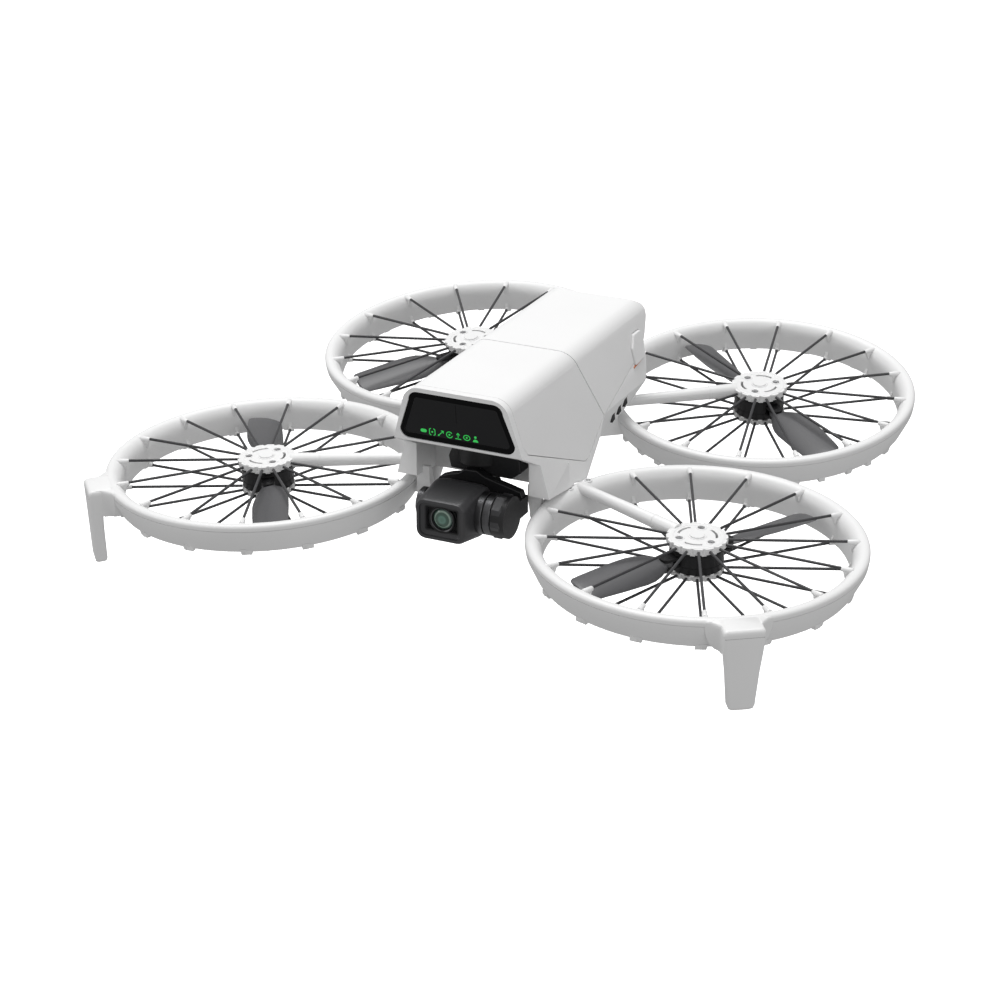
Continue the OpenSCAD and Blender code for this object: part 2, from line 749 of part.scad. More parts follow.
// The catch buttons stand in the flanks and press inwards.
button_y = 88.6;
button_z = 29;
button_depth = 3;
module button_shape(grow) {
  translate([0, button_y, button_z]) rotate([90, 0, 90]) linear_extrude(60) offset(r = grow)
    polygon([[-5, -5], [3.8, -4.2], [5.8, 3], [4.4, 5.4], [-1.6, 5.4], [-5, 1]]);
}

module button_pocket(grow) {
  difference() {
    intersection() {
      button_shape(grow);
      translate([hw(button_z) - button_depth - button_travel - 1, 60, 0]) cube([20, 60, 60]);
    }
    translate([-20, 0, 0]) cube([20, 200, 100]);
  }
}

module battery_button(side) {
  color("white") in_frame() flipped(side) intersection() {
    button_shape(0);
    difference() {
      translate([0.9, 0, 0]) body_prism();
      translate([hw(button_z) - button_depth - 100, 0, -50]) cube([100, 200, 150]);
    }
  }
}

// ---- electronics ----
module mainboard() {
  color("darkgreen") in_frame() {
    translate([-17, 14, 21]) cube([34, 23, 1.2]);
    translate([-9, 18, 22.2]) cube([12, 12, 1.6]);
    translate([6, 20, 22.2]) cube([7, 7, 1.2]);
    translate([-16, 33, 22.2]) cube([32, 3, 2.4]);
  }
}

module cooling_fan() {
  color("dimgray") in_frame() translate([0, 3, 33]) {
    difference() {
      translate([-12, -12, -3]) cube([24, 24, 5.6]);
      translate([0, 0, -4]) cylinder(r = 10.6, h = 8);
    }
    cylinder(r = 4.2, h = 2.4);
    translate([-12, -1, -3]) cube([24, 2, 0.8]);
    translate([0, 0, -2.3]) cylinder(r = 2, h = 3);
    for (i = [0:8]) rotate(i * 40) translate([3.8, -0.4, 0.2]) rotate([20, 0, 0]) cube([6.2, 0.8, 2]);
  }
}

module fold_pins() {
  color("silver") in_frame() for (side = [1, -1]) flipped(side) {
    on_axis(front_fold, front_hinge_y) cylinder(d = pin_d, h = front_hinge_len + 6, center = true);
    on_axis(rear_fold, rear_hinge_y) cylinder(d = pin_d, h = rear_hinge_len + 6, center = true);
  }
}

module belly_sensors() {
  color([0.08, 0.08, 0.1]) in_frame() {
    for (x = [-7, 7]) translate([x, 46, 5.3]) cylinder(r = 3, h = 4);
    translate([0, 46, 5.3]) cylinder(r = 1.7, h = 4);
  }
}

// The charging port opens to the rear, under the battery.
module usb_port() {
  color("silver") in_frame() translate([0, port_y, port_z]) difference() {
    translate([-port_w / 2, -7.5, -port_h / 2]) cube([port_w, 7.5, port_h]);
    translate([-port_w / 2 + 0.6, -6.5, -port_h / 2 + 0.5]) cube([port_w - 1.2, 7, port_h - 1]);
  }
}

// ---- gimbal ----
module gimbal_mount() {
  color([0.13, 0.13, 0.14]) in_frame() difference() {
    union() {
      translate([0, yaw_y, 18.6]) cylinder(r = 8.6, h = 3.2);
      translate([-16, yaw_y - 7, 20]) cube([32, 13.6, 1.8]);
    }
    translate([0, yaw_y, 15]) cylinder(r = 1.5, h = 12, $fn = 32);
  }
}

module gimbal_yaw_arm() {
  color([0.16, 0.16, 0.17]) in_frame() difference() {
    union() {
      translate([0, yaw_y, 12.6]) cylinder(r = 7.6, h = 5.7);
      translate([0, yaw_y, 12]) cylinder(r = 1.5 - run, h = 9.4, $fn = 32);
      translate([-4.5, yaw_y + 0.4, tilt_c.z]) cube([9, 4.6, 13]);
      translate([0, yaw_y + 5, tilt_c.z]) rotate([90, 0, 0]) cylinder(r = 6.4, h = 4.6);
    }
    translate([0, yaw_y + 3.2, tilt_c.z]) rotate([90, 0, 0]) cylinder(r = 1.3, h = 10, $fn = 32);
  }
}

module gimbal_roll_arm() {
  x_in = cam_w / 2 + 5.9;
  color([0.15, 0.15, 0.16]) in_frame() difference() {
    union() {
      // Roll motor behind the camera.
      translate([0, yaw_y + 0.1, tilt_c.z]) rotate([90, 0, 0]) cylinder(r = 6.4, h = 5);
      translate([0, yaw_y + 2.6, tilt_c.z]) rotate([90, 0, 0]) cylinder(r = 1.3 - run, h = 5, $fn = 32);
      // Back plate and the two side arms.
      translate([-cam_w / 2 - 5, -3.4, tilt_c.z - 3]) cube([cam_w + 10.9 + 5, 2.2, 6.4]);
      translate([x_in, 0, 0]) translate([0, tilt_c.y, tilt_c.z]) rotate([0, 90, 0]) cylinder(r = tilt_r, h = 5);
      translate([x_in + 2.8, tilt_c.y, tilt_c.z - 3]) cube([2.2, 13, 6.4]);
      translate([-cam_w / 2 - 5, tilt_c.y, tilt_c.z]) rotate([0, 90, 0]) cylinder(r = 4, h = 2.6);
      translate([-cam_w / 2 - 5, tilt_c.y, tilt_c.z - 2.5]) cube([2.6, 13, 5]);
    }
    translate([-cam_w / 2 - 6, tilt_c.y, tilt_c.z]) rotate([0, 90, 0]) cylinder(r = 1.2, h = 5, $fn = 32);
    translate([x_in - 1, tilt_c.y, tilt_c.z]) rotate([0, 90, 0]) cylinder(r = 1.2, h = 4, $fn = 32);
  }
}

module camera_body() {
  front = tilt_c.y - cam_d + 4.6;
  color([0.2, 0.2, 0.21]) in_frame() difference() {
    union() {
      hull() {
        for (s = [-1, 1]) for (z = [-cam_h / 2 + 3.1, cam_h / 2 - 2.3])
          translate([s * (cam_w / 2 - 3), front, tilt_c.z + 0.4 + z]) rotate([-90, 0, 0]) cylinder(r = 3, h = 3, $fn = 32);
        translate([-cam_w / 2, tilt_c.y, tilt_c.z]) rotate([0, 90, 0]) cylinder(r = 9.3, h = cam_w, $fn = 48);
      }
      translate([cam_w / 2 - 1, tilt_c.y, tilt_c.z]) rotate([0, 90, 0]) cylinder(r = tilt_r, h = 6.5);
      translate([-cam_w / 2 - 4.6, tilt_c.y, tilt_c.z]) rotate([0, 90, 0]) cylinder(r = 1.2 - run, h = 6, $fn = 32);
      translate([cam_w / 2 + 3, tilt_c.y, tilt_c.z]) rotate([0, 90, 0]) cylinder(r = 1.2 - run, h = 5.5, $fn = 32);
    }
    translate([0, front - 1, tilt_c.z + 0.4]) rotate([-90, 0, 0]) cylinder(r = 5.2, h = 10);
    translate([-6.6, front - 1, tilt_c.z + 0.4 - 5]) cube([13.2, 3.4, 10.4]);
  }
}

module camera_lens() {
  front = tilt_c.y - cam_d + 4.6;
  color([0.1, 0.25, 0.22]) in_frame() translate([0, front + 2.6, tilt_c.z + 0.4]) rotate([-90, 0, 0]) {
    difference() {
      cylinder(r = 5.2, h = 6.4);
      translate([0, 0, -1]) cylinder(r = 3.9, h = 2.6);
    }
  }
}

guard_ring(true, 1);  // guard_ring_fl
guard_cap(true, 1);  // guard_cap_fl
spokes(true, 1);  // spokes_fl
arm(true, 1);  // arm_fl
hub_plate(true, 1);  // hub_plate_fl
stator(true, 1);  // stator_fl
motor_bell(true, 1);  // motor_bell_fl
blade(true, 1, 0);  // blade_a_fl
blade(true, 1, 180);  // blade_b_fl
screws(true, 1);  // screws_fl
guard_ring(true, -1);  // guard_ring_fr
guard_cap(true, -1);  // guard_cap_fr
spokes(true, -1);  // spokes_fr
arm(true, -1);  // arm_fr
hub_plate(true, -1);  // hub_plate_fr
stator(true, -1);  // stator_fr
motor_bell(true, -1);  // motor_bell_fr
blade(true, -1, 0);  // blade_a_fr
blade(true, -1, 180);  // blade_b_fr
screws(true, -1);  // screws_fr
guard_ring(false, 1);  // guard_ring_rl
guard_cap(false, 1);  // guard_cap_rl
spokes(false, 1);  // spokes_rl
arm(false, 1);  // arm_rl
hub_plate(false, 1);  // hub_plate_rl
stator(false, 1);  // stator_rl
motor_bell(false, 1);  // motor_bell_rl
blade(false, 1, 0);  // blade_a_rl
blade(false, 1, 180);  // blade_b_rl
screws(false, 1);  // screws_rl
guard_ring(false, -1);  // guard_ring_rr
guard_cap(false, -1);  // guard_cap_rr
spokes(false, -1);  // spokes_rr
arm(false, -1);  // arm_rr
hub_plate(false, -1);  // hub_plate_rr
stator(false, -1);  // stator_rr
motor_bell(false, -1);  // motor_bell_rr
blade(false, -1, 0);  // blade_a_rr
blade(false, -1, 180);  // blade_b_rr
screws(false, -1);  // screws_rr
leg(1);  // leg_left
leg(-1);  // leg_right
lower_frame();
front_cover();
display_window();
display_panel();
battery_case();
battery_cells();
battery_button(1);  // battery_button_left
battery_button(-1);  // battery_button_right
mainboard();
cooling_fan();
fold_pins();
belly_sensors();
gimbal_mount();
gimbal_yaw_arm();
gimbal_roll_arm();
camera_body();
camera_lens();
usb_port();
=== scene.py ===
"""Looks of a folding camera drone with four spoked propeller guards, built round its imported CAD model.

Shapes are written in millimetres in one of two local frames and turned into the row frame, in metres:
LEVEL, the body frame at the height of the front guards, and rotor_frame(unit), one guard's own frame.
"""

import json
import math

import bmesh
import bpy
from mathutils import Matrix, Vector

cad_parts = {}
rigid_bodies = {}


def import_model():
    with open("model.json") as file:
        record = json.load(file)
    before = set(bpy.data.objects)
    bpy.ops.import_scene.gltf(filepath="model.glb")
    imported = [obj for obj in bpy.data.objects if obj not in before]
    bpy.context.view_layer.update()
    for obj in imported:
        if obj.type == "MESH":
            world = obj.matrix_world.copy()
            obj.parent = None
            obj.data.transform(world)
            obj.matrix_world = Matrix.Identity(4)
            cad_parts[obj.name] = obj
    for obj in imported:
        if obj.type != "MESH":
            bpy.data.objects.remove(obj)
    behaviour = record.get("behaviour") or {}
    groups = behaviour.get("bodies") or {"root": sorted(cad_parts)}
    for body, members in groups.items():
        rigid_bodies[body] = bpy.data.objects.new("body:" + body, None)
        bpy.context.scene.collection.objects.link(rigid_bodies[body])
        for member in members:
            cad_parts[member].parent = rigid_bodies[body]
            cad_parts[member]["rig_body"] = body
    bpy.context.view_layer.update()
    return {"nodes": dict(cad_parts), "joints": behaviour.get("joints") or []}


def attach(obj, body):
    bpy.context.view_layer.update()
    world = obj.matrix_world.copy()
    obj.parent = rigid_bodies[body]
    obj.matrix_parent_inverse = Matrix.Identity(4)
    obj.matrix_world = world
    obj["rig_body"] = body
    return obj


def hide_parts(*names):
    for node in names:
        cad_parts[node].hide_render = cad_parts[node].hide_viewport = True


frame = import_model()
MM = 0.001
JOINTS = {j["name"]: j for j in frame["joints"]}
UNITS = {"fl": "front_left", "fr": "front_right", "rl": "rear_left", "rr": "rear_right"}

# ---- sizes, in millimetres ----
RIM_R = 57.5  # outer radius of a guard
RIM_DEPTH = 5.9  # radial depth of the hollow guard
INNER_R = RIM_R - RIM_DEPTH
LIP_TOP = 0.6
LIP_SEAM = -1.8
RIM_LOW = -10.8
SPOKES = 16
SPOKE_END = INNER_R - 1.1
SPOKE_GAP = 10.4
HUB_R = 10.3
DISC_TOP = 1.2
DISC_LOW = -0.9
BELL_R = 9.2
PIVOT_R = 12.8
TIP_R = SPOKE_END - 1.8
BLADE_Z = -5.1
CHORD = 14.5
ARM_Z = -0.45
ARM_DIR = {"f": 159.2, "r": 214.8}
LEG_DIR = {"fl": -55, "fr": -41}
LEG_OUT = RIM_R + 7.4
LEG_LEN = 28.2
LEG_FLARE = 4.8  # how far a leg's shoulder spreads along the guard
FRONT_Y = -1.9  # fore-and-aft place of the front rotors in the level frame
TOP_Z = 43.2
CHIN_Z = 22.9
NOSE_Y = -14.6
NOSE_RAKE = 2.2
TOP_HW = 18.5
FLANK = 0.276
TILT = Vector((0, -14.2, 1))
CAM_W = 18.6
CAM_H = 15
CAM_FRONT = TILT.y - 14.4

# ---- frames ----
front_spin = Vector(JOINTS["spin_front_left"]["pos_m"])
LEVEL_ORIGIN = Vector((0, front_spin.y - FRONT_Y * MM, front_spin.z))
LEVEL = Matrix.Translation(LEVEL_ORIGIN) @ Matrix.Scale(MM, 4)


def rotor_frame(unit):
    """Millimetres in a guard's own frame to metres in the row frame. Right-hand units are mirrored."""
    side = 1 if unit[1] == "l" else -1
    joint = JOINTS["spin_" + UNITS[unit]]
    place, n = Vector(joint["pos_m"]), Vector(joint["axis"])
    place.x, n.x = place.x * side, n.x * side
    u = (Vector((1, 0, 0)) - n * n.x).normalized()
    w = n.cross(u)
    turn = Matrix((u, w, n)).transposed().to_4x4()
    return Matrix.Scale(side, 4, (1, 0, 0)) @ Matrix.Translation(place) @ turn @ Matrix.Scale(MM, 4)


def turned(deg, axis="Z"):
    return Matrix.Rotation(math.radians(deg), 4, axis)


def polar(r, deg, z=0.0):
    a = math.radians(deg)
    return Vector((r * math.cos(a), r * math.sin(a), z))


def arm_turn(unit):
    return turned(ARM_DIR[unit[0]])


# ---- materials ----
def node(tree, kind, **inputs):
    made = tree.nodes.new(kind)
    for name, value in inputs.items():
        made.inputs[name.replace("_", " ")].default_value = value
    return made


def finish(name, colour, rough, spread=0.06, grain=1400.0, bump=0.08, metal=0.0, blotch=25.0, **sockets):
    """A moulded, painted or machined surface: fine grain in the bump, slow drift in colour and roughness."""
    mat = bpy.data.materials.new(name)
    mat.use_nodes = True
    tree = mat.node_tree
    shader = tree.nodes["Principled BSDF"]
    shader.inputs["Metallic"].default_value = metal
    for socket, value in sockets.items():
        shader.inputs[socket.replace("_", " ")].default_value = value
    place = tree.nodes.new("ShaderNodeTexCoord")
    drift = node(tree, "ShaderNodeTexNoise", Scale=blotch, Detail=3.0, Roughness=0.55)
    fine = node(tree, "ShaderNodeTexNoise", Scale=grain, Detail=2.0, Roughness=0.6)
    for texture in (drift, fine):
        tree.links.new(place.outputs["Object"], texture.inputs["Vector"])
    tint = tree.nodes.new("ShaderNodeValToRGB")
    low = [c * (1 - spread) for c in colour]
    tint.color_ramp.elements[0].color = (*low, 1)
    tint.color_ramp.elements[1].color = (*colour, 1)
    tint.color_ramp.elements[0].position, tint.color_ramp.elements[1].position = 0.3, 0.62
    tree.links.new(drift.outputs["Fac"], tint.inputs["Fac"])
    tree.links.new(tint.outputs["Color"], shader.inputs["Base Color"])
    gloss = node(tree, "ShaderNodeMapRange")
    gloss.inputs["To Min"].default_value = max(rough * 0.88, 0.02)
    gloss.inputs["To Max"].default_value = min(rough * 1.12, 1)
    tree.links.new(fine.outputs["Fac"], gloss.inputs["Value"])
    tree.links.new(gloss.outputs["Result"], shader.inputs["Roughness"])
    relief = node(tree, "ShaderNodeBump", Strength=bump, Distance=0.00012)
    tree.links.new(fine.outputs["Fac"], relief.inputs["Height"])
    tree.links.new(relief.outputs["Normal"], shader.inputs["Normal"])
    return mat


def brushed(name, colour, rough, axis, stretch=14.0):
    """Turned metal: grain drawn out round an axis of the level frame."""
    mat = finish(name, colour, rough, spread=0.2, grain=900.0, bump=0.15, metal=1.0)
    tree = mat.node_tree
    place = next(n for n in tree.nodes if n.type == "TEX_COORD")
    mapping = tree.nodes.new("ShaderNodeMapping")
    scale = [1.0, 1.0, 1.0]
    scale["XYZ".index(axis)] = stretch
    mapping.inputs["Scale"].default_value = scale
    tree.links.new(place.outputs["Object"], mapping.inputs["Vector"])
    for texture in [n for n in tree.nodes if n.type == "TEX_NOISE"]:
        tree.links.new(mapping.outputs["Vector"], texture.inputs["Vector"])
    return mat


def glow(name, colour, strength):
    mat = finish(name, colour, 0.5)
    shader = mat.node_tree.nodes["Principled BSDF"]
    shader.inputs["Emission Color"].default_value = (*colour, 1)
    shader.inputs["Emission Strength"].default_value = strength
    return mat


def lens_coating_and_painted_reflection(name, centre, radius):
    """Dark coated glass, by distance from the optical axis: a teal coating ring round a near-black pupil, and
    a pale ring that is a painted reflection.
    """
    mat = finish(name, (0.02, 0.05, 0.045), 0.06, bump=0.0, Coat_Weight=1.0, Coat_Roughness=0.03)
    tree = mat.node_tree
    shader = tree.nodes["Principled BSDF"]
    place = tree.nodes.new("ShaderNodeTexCoord")
    shift = tree.nodes.new("ShaderNodeVectorMath")
    shift.operation = "DISTANCE"
    shift.inputs[1].default_value = centre
    tree.links.new(place.outputs["Object"], shift.inputs[0])
    ring = tree.nodes.new("ShaderNodeMapRange")
    ring.inputs["From Max"].default_value = radius
    tree.links.new(shift.outputs["Value"], ring.inputs["Value"])
    ramp = tree.nodes.new("ShaderNodeValToRGB")
    # the pale stop at 0.68 is a painted reflection ring in the glass
    stops = [(0.0, (0.05, 0.13, 0.09)), (0.30, (0.10, 0.22, 0.17)), (0.42, (0.03, 0.09, 0.06)),
             (0.58, (0.03, 0.08, 0.055)), (0.68, (0.34, 0.46, 0.38)), (0.78, (0.05, 0.10, 0.08)),
             (0.9, (0.015, 0.03, 0.025)), (1.0, (0.16, 0.24, 0.2))]
    ramp.color_ramp.elements.remove(ramp.color_ramp.elements[1])
    for i, (at, colour) in enumerate(stops):
        stop = ramp.color_ramp.elements[0] if i == 0 else ramp.color_ramp.elements.new(at)
        stop.position, stop.color = at, (*colour, 1)
    tree.links.new(ring.outputs["Result"], ramp.inputs["Fac"])
    tree.links.new(ramp.outputs["Color"], shader.inputs["Base Color"])
    return mat


SHELL = finish("shell white", (0.83, 0.83, 0.83), 0.42, spread=0.02, bump=0.1)
GUARD = finish("guard white", (0.80, 0.80, 0.80), 0.40, spread=0.025, bump=0.08)
PLATE = finish("hub plate grey", (0.62, 0.62, 0.62), 0.45, spread=0.05)
SPOKE = finish("spoke grey", (0.040, 0.040, 0.043), 0.38, spread=0.15)
MOTOR = finish("motor black", (0.008, 0.008, 0.009), 0.32, spread=0.2, metal=0.3)
WINDING = finish("copper winding", (0.35, 0.14, 0.06), 0.35, spread=0.3, metal=0.8, grain=3000.0, bump=0.5)
BLADE = finish("blade grey", (0.088, 0.088, 0.092), 0.40, spread=0.1, bump=0.1)
STEEL = finish("screw steel", (0.52, 0.52, 0.53), 0.28, spread=0.15, metal=1.0)
GLASS = finish("display black", (0.0015, 0.0015, 0.002), 0.1, bump=0.0, Specular_IOR_Level=0.1)
PANEL = finish("display panel", (0.014, 0.014, 0.015), 0.3, bump=0.0, Specular_IOR_Level=0.15)
ICON = glow("icon green", (0.03, 0.46, 0.08), 0.55)
ORANGE = finish("orange mark", (0.60, 0.22, 0.11), 0.5)
SEAM = finish("seam shade", (0.30, 0.30, 0.30), 0.6)
# near-black for dark parts, also used as painted shade in the vent slots
DARK = finish("black and painted gap shade", (0.012, 0.012, 0.013), 0.6)
BLACK = finish("gimbal black", (0.010, 0.010, 0.011), 0.42, spread=0.2, bump=0.12)
CHARCOAL = finish("gimbal charcoal", (0.052, 0.052, 0.055), 0.38, spread=0.12, bump=0.14, metal=0.25)
# grey of the camera's front rim, also used as a painted highlight along the roll yoke's edge
RIM_GREY_AND_EDGE_HIGHLIGHT = finish("camera rim and painted edge highlight", (0.060, 0.060, 0.063), 0.40, spread=0.1, metal=0.3)
BAND = brushed("turned band", (0.14, 0.14, 0.145), 0.34, "X")
LENS = lens_coating_and_painted_reflection("lens coating and painted reflection", LEVEL @ Vector((0, CAM_FRONT + 2.1, TILT.z + 0.4)), 4.2 * MM)
SENSOR = finish("sensor glass", (0.006, 0.006, 0.01), 0.08, bump=0.0, Coat_Weight=0.6)
BOARD = finish("solder mask", (0.02, 0.09, 0.04), 0.4, spread=0.3, grain=2600.0)
CELL = finish("cell wrap", (0.20, 0.24, 0.30), 0.45, spread=0.1)


# ---- mesh building ----
class Shape:
    """A mesh in progress, in a local frame's millimetres."""

    def __init__(self, place):
        self.bm, self.place = bmesh.new(), place

    def _faces(self, rings, closed_ring=True, closed_path=False):
        n = len(rings[0])
        pairs = list(zip(rings, rings[1:] + rings[:1])) if closed_path else list(zip(rings, rings[1:]))
        for a, b in pairs:
            for i in range(n if closed_ring else n - 1):
                j = (i + 1) % n
                self.bm.faces.new((a[i], a[j], b[j], b[i]))

    def loft(self, loops, at=Matrix(), cap=True):
        """Skins loops of points that have the same count."""
        rings = [[self.bm.verts.new(at @ Vector(p)) for p in loop] for loop in loops]
        self._faces(rings)
        if cap:
            self.bm.faces.new(rings[0])
            self.bm.faces.new(list(reversed(rings[-1])))
        return self

    def lathe(self, profile, at=Matrix(), steps=96, closed=True):
        """Turns a profile of (r, z) about z. With closed off, its ends lie on the axis and stay open."""
        rings = []
        for i in range(steps):
            rings.append([self.bm.verts.new(at @ polar(r, 360 * i / steps, z)) for r, z in profile])
        self._faces(rings, closed_ring=closed, closed_path=True)
        return self

    def rod(self, a, b, ra, rb=None, steps=20, dome=0.0, at=Matrix()):
        """A round bar from a to b, with its end edges rounded by dome."""
        a, b, rb = Vector(a), Vector(b), ra if rb is None else rb
        turn = Matrix.Translation(a) @ (b - a).to_track_quat("Z", "Y").to_matrix().to_4x4()
        h = (b - a).length
        stops = [(ra, 0), (rb, h)]
        if dome:
            stops = [(ra - dome, 0), (ra - dome * 0.3, dome * 0.3), (ra, dome),
                     (rb, h - dome), (rb - dome * 0.3, h - dome * 0.3), (rb - dome, h)]
        return self.loft([[polar(r, 360 * i / steps, z) for i in range(steps)] for r, z in stops], at @ turn)

    def prism(self, outline, low, high, at=Matrix()):
        """An outline of (x, y) from z low to z high."""
        return self.loft([[(x, y, z) for x, y in outline] for z in (low, high)], at)

    def box(self, lo, hi, at=Matrix()):
        return self.prism([(lo[0], lo[1]), (hi[0], lo[1]), (hi[0], hi[1]), (lo[0], hi[1])], lo[2], hi[2], at)

    def piece(self, name, body, material, bevel=0.0, smooth=40, replaces=(), steps=2):
        bm = self.bm
        bmesh.ops.transform(bm, matrix=self.place, verts=bm.verts)
        bmesh.ops.recalc_face_normals(bm, faces=bm.faces)
        return publish(bm, name, body, material, bevel, smooth, replaces, steps)


def publish(bm, name, body, material, bevel, smooth, replaces, steps=2):
    mesh = bpy.data.meshes.new(name)
    bm.to_mesh(mesh)
    bm.free()
    for face in mesh.polygons:
        face.use_smooth = True
    mesh.set_sharp_from_angle(angle=math.radians(smooth))
    mesh.materials.append(material)
    made = bpy.data.objects.new(name, mesh)
    bpy.context.scene.collection.objects.link(made)
    if bevel:
        edge = made.modifiers.new("soft edges", "BEVEL")
        edge.width, edge.segments, edge.limit_method = bevel * MM, steps, "ANGLE"
        edge.angle_limit = math.radians(smooth)
        edge.harden_normals = True
    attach(made, body)
    if replaces:
        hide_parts(*replaces)
    return made


def refine(name, material, bevel=0.2, smooth=32, merge=0.004):
    """The CAD node's own shape with its facets joined into whole faces, softened edges and smooth shading."""
    source = frame["nodes"][name]
    bm = bmesh.new()
    bm.from_mesh(source.data)
    bmesh.ops.remove_doubles(bm, verts=bm.verts, dist=merge * MM)
    bmesh.ops.dissolve_limit(bm, angle_limit=math.radians(0.6), verts=bm.verts, edges=bm.edges)
    bmesh.ops.recalc_face_normals(bm, faces=bm.faces)
    return publish(bm, name + "_shell", source["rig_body"], material, bevel, smooth, (name,))


def rounded(half_w, half_h, r, steps=6):
    """A rounded rectangle about the origin."""
    return [
        (sx * (half_w - r) + r * math.cos(math.radians(a0 + 90 * i / steps)),
         sy * (half_h - r) + r * math.sin(math.radians(a0 + 90 * i / steps)))
        for sx, sy, a0 in ((1, 1, 0), (-1, 1, 90), (-1, -1, 180), (1, -1, 270))
        for i in range(steps + 1)
    ]


# ---- guards ----
def guard_lip(unit, at, body):
    """The guard's upper shell: a soft lip over a bell mouth, with a fin and a boss for each spoke."""
    lip = Shape(at)
    lip.lathe([
        (RIM_R - 0.25, LIP_SEAM), (RIM_R, LIP_SEAM + 0.25), (RIM_R, -0.7), (RIM_R - 0.12, -0.25),
        (RIM_R - 0.5, 0.2), (RIM_R - 1.1, 0.5), (RIM_R - 1.9, LIP_TOP), (RIM_R - 2.7, 0.5),
        (RIM_R - 3.5, 0.15), (RIM_R - 4.2, -0.45), (RIM_R - 4.9, -1.3), (RIM_R - 5.4, -2.3),
        (RIM_R - 5.7, -3.3), (RIM_R - 5.85, -4.4), (INNER_R, -5.6), (INNER_R, RIM_LOW + 0.3),
        (INNER_R + 0.3, RIM_LOW), (INNER_R + 1.2, RIM_LOW), (INNER_R + 1.2, -5.0), (INNER_R + 2.5, -2.6),
        (RIM_R - 1.2, LIP_SEAM)], steps=192)
    for i in range(SPOKES):
        turn = arm_turn(unit) @ turned(i * 360 / SPOKES)
        if i:
            lip.rod((SPOKE_END - 0.5, 0, -0.25), (RIM_R - 3.4, 0, -0.25), 0.85, 1.05, 16, 0.2, turn)
            fin = [(SPOKE_END + 0.1, 0.2), (RIM_R - 2.6, 0.45), (RIM_R - 3.6, -1.6), (INNER_R + 0.5, -4.6),
                   (INNER_R - 0.1, -3.4), (SPOKE_END + 0.2, -0.9)]
            lip.prism(fin, -0.62, 0.62, turn @ Matrix.Rotation(math.radians(90), 4, "X"))
        lip.rod((SPOKE_END - 0.5, 0, -SPOKE_GAP), (INNER_R + 0.5, 0, -SPOKE_GAP), 0.85, 1.0, 16, 0.2, turn)
        foot = [(SPOKE_END + 0.1, -SPOKE_GAP), (INNER_R + 0.3, -SPOKE_GAP), (INNER_R + 0.3, -7.4),
                (INNER_R - 0.2, -8.2)]
        lip.prism(foot, -0.6, 0.6, turn @ Matrix.Rotation(math.radians(90), 4, "X"))
        drop = [(INNER_R + 0.4, RIM_LOW + 0.6), (INNER_R + 3.0, RIM_LOW + 1.2),
                (INNER_R + 2.6, RIM_LOW - 0.6), (INNER_R + 2.0, RIM_LOW - 1.25),
                (INNER_R + 1.2, RIM_LOW - 1.25), (INNER_R + 0.6, RIM_LOW - 0.5)]
        sides = []
        for s in (-1, 1):
            sides.append([(x, s * 1.3 - s * (0.35 if z < RIM_LOW - 0.3 else 0), z) for x, z in drop])
        lip.loft(sides, turn)
    screws = Shape(at)
    for s in (1, -1):
        spot = arm_turn(unit) @ turned(4.8 * s) @ Matrix.Translation((RIM_R - 1.9, 0, 0))
        lip.lathe([(0.95, 0.3), (0.95, 0.72), (1.05, 0.8), (1.3, 0.8), (1.45, 0.7), (1.5, 0.3)], spot, 28)
        screws.lathe([(0.28, 0.4), (0.34, 0.66), (0.8, 0.66), (0.93, 0.58), (0.93, 0.4)], spot, 28)
    screws.piece("rim_screws_" + unit, body, STEEL, smooth=30)
    lip.piece("guard_lip_" + unit, body, GUARD, bevel=0.0, smooth=38, replaces=("guard_cap_" + unit,))


def hub(unit, at, body):
    """The fixed hub: a toothed top disc on the arm and its lower plate."""
    refine("arm_" + unit, GUARD, bevel=0.14)
    refine("hub_plate_" + unit, PLATE, bevel=0.14)
    turn = arm_turn(unit)
    trim = Shape(at)
    trim.lathe([(7.9, DISC_TOP - 0.05), (7.9, DISC_TOP + 0.05), (8.1, DISC_TOP + 0.14),
                (9.1, DISC_TOP + 0.14), (9.3, DISC_TOP + 0.05), (9.3, DISC_TOP - 0.05)], steps=72)
    trim.lathe([(2.5, DISC_TOP - 0.1), (2.5, DISC_TOP + 0.1), (2.65, DISC_TOP + 0.22),
                (2.95, DISC_TOP + 0.22), (3.1, DISC_TOP + 0.1), (3.1, DISC_TOP - 0.1)], steps=48)
    for i in range(3):
        boss = turn @ turned(60 + 120 * i) @ Matrix.Translation((6.3, 0, 0))
        trim.lathe([(1.3, DISC_TOP - 0.1), (1.3, DISC_TOP + 0.12), (1.42, DISC_TOP + 0.2),
                    (1.7, DISC_TOP + 0.2), (1.85, DISC_TOP + 0.1), (1.9, DISC_TOP - 0.1)], boss, 32)
    for i in range(SPOKES):
        step = turn @ turned((i + 0.5) * 360 / SPOKES)
        trim.prism([(HUB_R - 1.4, -1.0), (HUB_R - 0.35, -0.8), (HUB_R - 0.35, 0.8), (HUB_R - 1.4, 1.0)],
                   DISC_LOW - 0.55, DISC_LOW + 0.3, step)
        trim.prism([(HUB_R - 2.1, -0.9), (HUB_R - 1.1, -0.7), (HUB_R - 1.1, 0.7), (HUB_R - 2.1, 0.9)],
                   -SPOKE_GAP + 0.7, -SPOKE_GAP + 1.35, step)
    sleeve = [(2.5, 0), (2.58, 0.1), (2.58, 0.55), (2.5, 0.65)]
    along_arm = turn @ Matrix.Translation((18.9, 0, ARM_Z)) @ turned(90, "Y")
    trim.lathe([(2.0, 0)] + sleeve + [(2.0, 0.65)], along_arm, 40)
    trim.piece("hub_trim_" + unit, body, GUARD, smooth=35)


